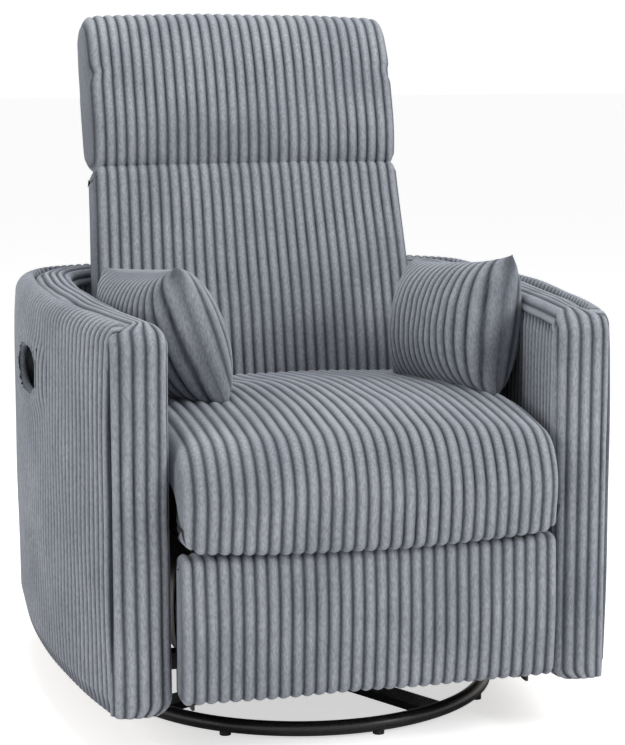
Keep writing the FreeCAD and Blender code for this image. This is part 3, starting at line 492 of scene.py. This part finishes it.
def strip_stations():
    """Inner edge, outer edge and outward direction at each step along the strip."""
    outer, inner = arm_line(OUTER), arm_line(INNER)
    outer = outer - side_normals(outer) * TOP_SEAM
    middle = (outer + inner) / 2
    steps = np.concatenate([[0], np.cumsum(np.linalg.norm(np.diff(middle, axis=0), axis=1))])
    places = np.linspace(0, steps[-1], 230)
    pick = [np.interp(places, steps, line[:, axis]) for line in (inner, outer)
            for axis in (0, 1)]
    stations = []

    def front_station(side, level):
        slack = max(0.0, STRIP_FOOT - (level - BARREL_LOW))
        cut = STRIP_FOOT - math.sqrt(STRIP_FOOT ** 2 - min(slack, STRIP_FOOT * 0.999) ** 2)
        return ((side * (INNER["front"] + cut), NOSE, level),
                (side * OUTER["front"], NOSE, level), (0, -1, 0))

    def bend_station(side, turn):
        y = NOSE + RIM_BEND * (1 - math.cos(turn))
        z = RIM_TOP - RIM_BEND * (1 - math.sin(turn))
        change = smoothstep(turn, NARROWS_FROM, math.pi / 2)
        first = pick[0][0] if side < 0 else pick[0][-1]
        last = pick[2][0] if side < 0 else pick[2][-1]
        return ((side * INNER["front"] * (1 - change) + first * change, y, z),
                (side * OUTER["front"] * (1 - change) + last * change, y, z),
                (0, -math.cos(turn), math.sin(turn)))

    foot = BARREL_LOW - 0.002
    levels = foot + (RIM_TOP - RIM_BEND - foot) * np.linspace(0, 1, 60) ** 1.15
    stations += [front_station(-1, level) for level in levels]
    turns = np.linspace(0, math.pi / 2, 36)[1:-1]
    stations += [bend_station(-1, turn) for turn in turns]
    for number in range(len(places)):
        stations.append(((pick[0][number], pick[1][number], RIM_TOP),
                         (pick[2][number], pick[3][number], RIM_TOP), (0, 0, 1)))
    stations += [bend_station(1, turn) for turn in turns[::-1]]
    stations += [front_station(1, level) for level in levels[::-1]]
    return [np.array([station[part] for station in stations]) for part in range(3)]


def strip_profile(wide):
    """The strip's section: distances along its girth, the girth, and (side, drop) at each."""
    flat = wide - 2 * RIM_ROUND
    reach = RIM_DROP - RIM_ROUND
    quarter = RIM_ROUND * math.pi / 2
    girth = 2 * reach + 2 * quarter + flat
    samples = np.linspace(0, girth, int(girth / PITCH * FINE) + 1)
    profile = []
    for distance in samples:
        mirror = distance > girth / 2
        near = girth - distance if mirror else distance
        if near < reach:
            side, drop = 0.0, -RIM_DROP + near
        elif near < reach + quarter:
            turn = (near - reach) / RIM_ROUND
            side = RIM_ROUND * (1 - math.cos(turn))
            drop = -RIM_ROUND * (1 - math.sin(turn))
        else:
            side, drop = RIM_ROUND + near - reach - quarter, 0.0
        profile.append((wide - side if mirror else side, drop))
    return samples, girth, np.array(profile)


def rim_strip():
    """One ribbed strip: up the left arm's front, round the barrel's top and down the right."""
    first, last, up = strip_stations()
    wide = OUTER["front"] - INNER["front"]
    samples, girth, profile = strip_profile(wide)
    span = last - first
    width = np.linalg.norm(span, axis=1, keepdims=True)
    unit = span / width
    linear = np.clip((profile[:, 0] - RIM_ROUND) / (wide - 2 * RIM_ROUND), 0, 1)
    extra = width - wide
    place = profile[:, 0][None, :] + extra * linear[None, :]
    dome = 0.005 * (1 - (2 * place / width - 1) ** 2) - 0.005
    spot = first[:, None, :] + unit[:, None, :] * place[..., None]
    field = soft(spot[..., 0], spot[..., 1], spot[..., 2], 1.1)
    ribs = rib(samples[None, :] * (girth // PITCH * PITCH / girth) + 0.0012 * field)
    edge = np.minimum(samples, girth - samples)
    # Toward its edges the strip sinks to a groove and takes the painted groove shade there too
    ribs = ribs * smoothstep(edge, 0.0, 0.006)[None, :]
    normal_share = np.clip(-profile[:, 1] / RIM_ROUND, 0, 1)
    sideways = np.where(profile[:, 0] < wide / 2, -1.0, 1.0) * normal_share
    upward = 1 - normal_share
    size = np.sqrt(sideways ** 2 + upward ** 2)
    push = CREST * (ribs - 0.85) + 0.002 * field
    points = (spot + up[:, None, :] * (profile[:, 1][None, :, None] + dome[..., None])
              + unit[:, None, :] * (sideways / size)[None, :, None] * push[..., None]
              + up[:, None, :] * (upward / size)[None, :, None] * push[..., None])
    item = surface("rim_and_arm_fronts", "carriage", points, ribs)
    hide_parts("arm_rim", "arm_facing_left", "arm_facing_right")


# Seat, back and footrest

def seat():
    loop = rounded([(0.184, 0.356, 0.02), (-0.342, 0.356, 0.02), (-0.352, 0.312, 0.02),
                    (-0.418, 0.303, 0.024), (-0.430, 0.400, 0.06), (-0.394, 0.466, 0.06),
                    (-0.270, 0.489, 0.12), (-0.100, 0.494, 0.12), (0.184, 0.466, 0.05)])
    item = loaf("seat_pad", "seat", loop, 0.275, edge=0.030, crown=0.010)
    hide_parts("seat_cushion")


def footrest():
    loop = rounded([(-0.3505, 0.098, 0.012), (-0.398, 0.096, 0.022), (-0.406, 0.200, 0.12),
                    (-0.400, 0.312, 0.022), (-0.3505, 0.310, 0.012)])
    item = loaf("footrest_cover", "footrest", loop, 0.276, edge=0.014, crown=0.002)
    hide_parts("footrest_pad")


def back():
    lower = rounded([(0.098, 0.006, 0.03), (0.000, 0.020, 0.03), (-0.006, 0.200, 0.15),
                     (-0.002, 0.424, 0.028), (0.060, 0.428, 0.03), (0.098, 0.424, 0.02)])

    def wider_below(share, z):
        return 1.0 + 0.030 * smoothstep(0.42 - z, 0.0, 0.25)

    item = loaf("back_pad", "backrest", lower, 0.262, edge=0.022, crown=0.006, place=leaned,
                taper=wider_below)
    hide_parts("back_cushion", "rear_cover")
    head = rounded([(0.128, 0.430, 0.03), (0.060, 0.404, 0.03), (0.004, 0.406, 0.045),
                    (-0.016, 0.470, 0.12), (-0.012, 0.600, 0.12), (0.010, 0.668, 0.06),
                    (0.062, 0.690, 0.07), (0.118, 0.670, 0.07), (0.132, 0.560, 0.08)])

    def pinched(share, z):
        return 1.0 - 0.022 * share ** 14 * np.exp(-((z - 0.570) / 0.010) ** 2)

    item = loaf("head_pad", "backrest", head, 0.262, edge=0.024, crown=0.006, place=leaned,
                taper=pinched)
    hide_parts("head_cushion")


# Loose pillows

def turned(points, axis, angle):
    """Points turned about one axis through the origin."""
    one, two = [number for number in range(3) if number != axis]
    result = points.copy()
    result[..., one] = points[..., one] * math.cos(angle) - points[..., two] * math.sin(angle)
    result[..., two] = points[..., one] * math.sin(angle) + points[..., two] * math.cos(angle)
    return result


def pillow(side, heading, lean, place):
    """A knife-edged pillow with drawn-out corners, leaning on the inside of one arm."""
    name = "left" if side < 0 else "right"
    length, high, thick = 0.312, 0.216, 0.140
    count = int(length / PITCH) * FINE
    u = np.linspace(-1, 1, count + 1)
    v = np.linspace(-1, 1, 49)
    uu, vv = np.meshgrid(u, v, indexing="ij")
    x = length / 2 * uu * (1 - 0.070 * (1 - vv ** 4))
    z = high / 2 * vv * (1 - 0.100 * (1 - np.abs(uu) ** 4))
    body = ((1 - np.abs(uu) ** 2.8) * (1 - np.abs(vv) ** 2.4)) ** 0.5
    nets = []
    for way in (1, -1):
        field = soft(x + 0.3 * way, z * 1.3, way * 0.2 + z, 0.75)
        edge = smoothstep(body, 0.0, 0.35)
        ribs = rib(x * (1 + 0.02 * vv) + 0.0016 * field) * smoothstep(body, 0.02, 0.22)
        deep = thick / 2 * body * (1 + 0.06 * field * edge) + CREST * 0.9 * ribs * edge
        hem = 0.5 * (1 - smoothstep(body, 0.02, 0.22))
        nets.append((np.stack([x, -way * deep, z], axis=-1), ribs + hem))
    near, far = nets
    points = np.concatenate([near[0], far[0][:, 1:-1][:, ::-1]], axis=1)
    ribs = np.concatenate([near[1], far[1][:, 1:-1][:, ::-1]], axis=1)
    points = turned(points, 1, math.radians(-6))
    points = turned(points, 0, side * math.radians(lean))
    points = turned(points, 2, math.radians(heading))
    points = points + np.array(place)
    item = surface(f"pillow_cover_{name}", f"pillow_{name[0]}", points, ribs, caps=False)
    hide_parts(f"pillow_{name}")


# Handle bezel, round the cup's mouth

def bezel():
    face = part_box("handle_cup")[0][0]
    middle_y, middle_z, half_y, half_z = cup_oval()
    rings = []
    for turn in np.linspace(0, 2 * math.pi, 24, endpoint=False):
        grow, rise = WELT_WIDE * math.cos(turn) - 0.001, WELT_HIGH * math.sin(turn)
        ring = []
        for way in np.linspace(0, 2 * math.pi, 96, endpoint=False):
            cy, cz = math.cos(way), math.sin(way)
            y = math.copysign(abs(cy) ** (2 / OVAL_POWER), cy) * (half_y + grow)
            z = math.copysign(abs(cz) ** (2 / OVAL_POWER), cz) * (half_z + grow)
            ring.append((face + 0.0035 - rise, middle_y + y, middle_z + z))
        rings.append(ring)
    points = np.array(rings + rings[:1])
    plain = np.full(points.shape[:2], 0.45)
    surface("handle_welt", "carriage", points, plain, caps=False)


# Frame finishes, stage, light and camera

def finish_nodes():
    for entry in frame["record"]["subparts"]:
        item = frame["nodes"][entry["node"]]
        material = MATERIALS[entry["material_slot"]]
        if not item.material_slots:
            item.data.materials.append(material)
        for place in item.material_slots:
            place.material = material


def stage():
    material, nodes, links, shader = new_material("floor")
    shader.inputs["Base Color"].default_value = (0.88, 0.88, 0.88, 1)
    shader.inputs["Roughness"].default_value = 0.95
    shader.inputs["Specular IOR Level"].default_value = 0.1
    shader.inputs["Emission Color"].default_value = (1, 1, 1, 1)
    rays = nodes.new("ShaderNodeLightPath")
    lift = nodes.new("ShaderNodeMath")
    lift.operation = "MULTIPLY"
    lift.inputs[1].default_value = 0.62
    links.new(rays.outputs["Is Camera Ray"], lift.inputs[0])
    links.new(lift.outputs[0], shader.inputs["Emission Strength"])
    bpy.ops.mesh.primitive_plane_add(size=60, location=(0, 0, 0))
    floor = bpy.context.object
    floor.name = "floor"
    floor.data.materials.append(material)
    world = bpy.data.worlds.new("studio")
    bpy.context.scene.world = world
    world.use_nodes = True
    nodes, links = world.node_tree.nodes, world.node_tree.links
    shader = nodes["Background"]
    shader.inputs["Color"].default_value = (1, 1, 1, 1)
    rays = nodes.new("ShaderNodeLightPath")
    seen = nodes.new("ShaderNodeMath")
    seen.operation = "MAXIMUM"
    links.new(rays.outputs["Is Camera Ray"], seen.inputs[0])
    links.new(rays.outputs["Is Glossy Ray"], seen.inputs[1])
    strength = nodes.new("ShaderNodeMapRange")
    strength.inputs["To Min"].default_value = 0.36
    strength.inputs["To Max"].default_value = 1.0
    links.new(seen.outputs[0], strength.inputs["Value"])
    links.new(strength.outputs["Result"], shader.inputs["Strength"])


def lamp(name, place, target, size, power):
    light = bpy.data.lights.new(name, "AREA")
    light.shape = "SQUARE"
    light.size = size
    light.energy = power
    item = bpy.data.objects.new(name, light)
    bpy.context.scene.collection.objects.link(item)
    item.location = place
    item.rotation_euler = (Vector(target) - Vector(place)).to_track_quat(
        "-Z", "Y").to_euler()


def camera():
    heading, tilt = math.radians(-15.876), math.radians(9.179)
    forward = Vector((-math.sin(heading) * math.cos(tilt),
                         math.cos(heading) * math.cos(tilt), -math.sin(tilt)))
    data = bpy.data.cameras.new("camera")
    data.sensor_width = 36
    data.lens = 101.5
    item = bpy.data.objects.new("camera", data)
    item.location = (-0.860, -3.104, 1.012)
    item.rotation_euler = forward.to_track_quat("-Z", "Y").to_euler()
    bpy.context.scene.collection.objects.link(item)
    bpy.context.scene.camera = item


finish_nodes()
outer_cover()
inner_lining()
rim_strip()
seat()
footrest()
back()
pillow(-1, 101, 19, (-0.224, -0.052, 0.568))
pillow(1, 98, 10, (0.238, -0.050, 0.565))
bezel()
stage()
lamp("key", (2.4, -2.4, 2.3), (0, 0, 0.5), 1.4, 76)
lamp("fill", (-2.9, -1.4, 1.6), (0, 0, 0.5), 1.4, 38)
lamp("top", (0.0, 0.3, 3.0), (0, 0, 0.5), 1.6, 34)
camera()
bpy.context.scene.view_settings.view_transform = "Standard"
